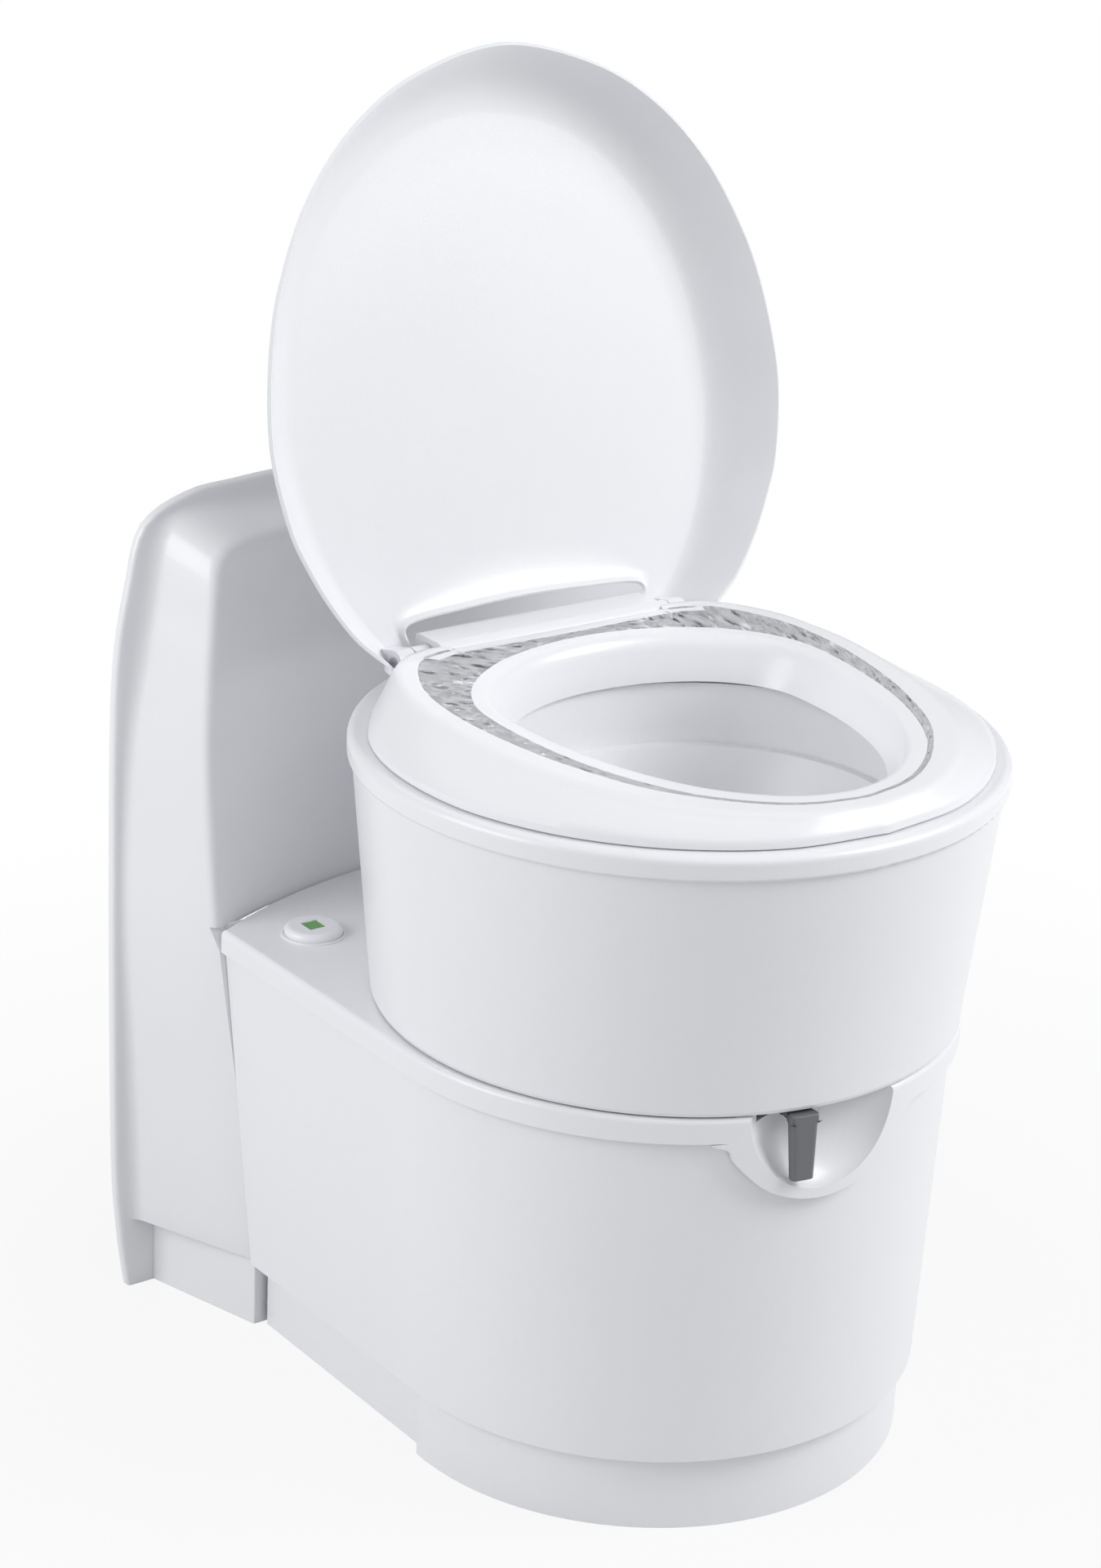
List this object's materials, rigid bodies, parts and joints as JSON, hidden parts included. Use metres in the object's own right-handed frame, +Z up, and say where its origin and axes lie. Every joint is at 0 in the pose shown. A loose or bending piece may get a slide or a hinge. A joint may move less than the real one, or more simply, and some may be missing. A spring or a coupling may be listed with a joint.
{
  "type": "built-in cassette toilet",
  "caption": "Built-in chemical toilet with a turning bowl, hinged seat and lid, blade lever, flush button and a slide-out waste tank.",
  "frame": {"origin": "on the floor under the centre of the bench's round front", "axes": "+Y points back at the wall, +X to the right hand of someone facing the toilet, +Z up"},
  "size_m": [0.4604, 0.514, 0.8591],
  "materials": {
    "white_plastic": "satin white plastic",
    "grey_plastic": "mid grey plastic",
    "dark_plastic": "dark plastic",
    "green_window": "translucent green indicator",
    "tank_plastic": "grey blow-moulded plastic",
    "rubber_black": "soft black rubber",
    "hose_clear": "milky flexible hose",
    "steel": "zinc plated steel",
    "wheel_grey": "hard grey plastic"
  },
  "bodies": {
    "base": {"base_tray": "white_plastic", "tank_rails": "grey_plastic", "rear_plinth_blocks": "white_plastic", "bench_shell": "white_plastic", "bench_screws": "steel", "deck": "white_plastic", "lever_insert": "white_plastic", "glide_pads": "grey_plastic", "button_ring": "white_plastic", "switch_box": "dark_plastic", "wall_housing": "white_plastic", "housing_screws": "steel", "valve_body": "dark_plastic", "valve_coil": "dark_plastic", "valve_bracket": "grey_plastic", "flush_hose": "hose_clear", "valve_wire": "rubber_black", "catch_post": "grey_plastic"},
    "flush_button": {"flush_button": "white_plastic", "button_window": "green_window"},
    "bowl": {"turntable": "grey_plastic", "swivel_spigot": "grey_plastic", "swivel_retainer": "grey_plastic", "bowl_skirt": "white_plastic", "inner_bowl": "white_plastic", "hinge_cover": "white_plastic", "hinge_pin": "steel", "flush_riser": "hose_clear", "flush_nozzle": "grey_plastic"},
    "seat": {"seat": "white_plastic", "seat_ears": "white_plastic", "seat_pads": "rubber_black"},
    "lid": {"lid": "white_plastic", "lid_ears": "white_plastic"},
    "lever": {"lever_ring": "grey_plastic", "lever_grip": "grey_plastic"},
    "drive_gear": {"drive_gear": "grey_plastic"},
    "tank": {"tank_shell": "tank_plastic", "lip_seal": "rubber_black", "cover_guides": "tank_plastic", "handle_brackets": "grey_plastic", "wheel_axles": "steel", "float_bracket": "grey_plastic"},
    "sliding_cover": {"sliding_cover": "grey_plastic"},
    "blade": {"blade": "grey_plastic"},
    "pour_spout": {"pour_spout": "grey_plastic"},
    "spout_cap": {"spout_cap": "dark_plastic"},
    "vent_button": {"vent_button": "green_window"},
    "pull_handle": {"pull_handle": "grey_plastic"},
    "float_arm": {"float_arm": "grey_plastic"},
    "tank_catch": {"tank_catch": "dark_plastic"},
    "wheel_left": {"wheel_left": "wheel_grey"},
    "wheel_right": {"wheel_right": "wheel_grey"}
  },
  "joints": [
    {"name": "bowl_swivel", "type": "hinge", "parent": "base", "child": "bowl", "pos_m": [0, -0.006, 0.3], "axis": [0, 0, 1], "range_deg": [-90, 90]},
    {"name": "seat_hinge", "type": "hinge", "parent": "bowl", "child": "seat", "pos_m": [0, 0.141, 0.487], "axis": [-1, 0, 0], "range_deg": [0, 96]},
    {"name": "lid_hinge", "type": "hinge", "parent": "bowl", "child": "lid", "pos_m": [0, 0.141, 0.487], "axis": [-1, 0, 0], "range_deg": [-103, 0]},
    {"name": "flush_button_press", "type": "slide", "parent": "base", "child": "flush_button", "axis": [0, 0, -1], "range_m": [0, 0.003], "stiffness_N_per_m": 400},
    {"name": "lever_turn", "type": "hinge", "parent": "base", "child": "lever", "pos_m": [0, -0.006, 0.295], "axis": [0, 0, 1], "range_deg": [0, 12]},
    {"name": "drive_gear_turn", "type": "hinge", "parent": "base", "child": "drive_gear", "pos_m": [0.07849, 0.07249, 0.295], "axis": [0, 0, 1], "range_deg": [-62, 0]},
    {"name": "tank_slide", "type": "slide", "parent": "base", "child": "tank", "axis": [0, 1, 0], "range_m": [0, 0.43]},
    {"name": "blade_turn", "type": "hinge", "parent": "tank", "child": "blade", "pos_m": [0.07849, 0.07249, 0.216], "axis": [0, 0, 1], "range_deg": [-62, 0]},
    {"name": "cover_slide", "type": "slide", "parent": "tank", "child": "sliding_cover", "axis": [0, -1, 0], "range_m": [0, 0.118]},
    {"name": "spout_turn", "type": "hinge", "parent": "tank", "child": "pour_spout", "pos_m": [-0.095, 0.215, 0.24], "axis": [0, 0, 1], "range_deg": [0, 180]},
    {"name": "spout_cap_turn", "type": "hinge", "parent": "pour_spout", "child": "spout_cap", "pos_m": [-0.095, 0.125, 0.262], "axis": [0, -1, 0], "continuous": true},
    {"name": "vent_press", "type": "slide", "parent": "tank", "child": "vent_button", "axis": [0, 0, -1], "range_m": [0, 0.003], "stiffness_N_per_m": 200},
    {"name": "handle_fold", "type": "hinge", "parent": "tank", "child": "pull_handle", "pos_m": [0, 0.284, 0.13], "axis": [1, 0, 0], "range_deg": [0, 90]},
    {"name": "float_swing", "type": "hinge", "parent": "tank", "child": "float_arm", "pos_m": [0.06, 0.24, 0.195], "axis": [-1, 0, 0], "range_deg": [0, 45]},
    {"name": "catch_turn", "type": "hinge", "parent": "base", "child": "tank_catch", "pos_m": [0, 0.288, 0.017], "axis": [0, 1, 0], "range_deg": [0, 90]},
    {"name": "wheel_left_turn", "type": "hinge", "parent": "tank", "child": "wheel_left", "pos_m": [-0.117, -0.072, 0.04], "axis": [1, 0, 0], "continuous": true},
    {"name": "wheel_right_turn", "type": "hinge", "parent": "tank", "child": "wheel_right", "pos_m": [0.117, -0.072, 0.04], "axis": [1, 0, 0], "continuous": true}
  ],
  "couplings": [
    {"joint": "drive_gear_turn", "follows": "lever_turn", "ratio": -5.1667},
    {"joint": "blade_turn", "follows": "lever_turn", "ratio": -5.1667}
  ]
}
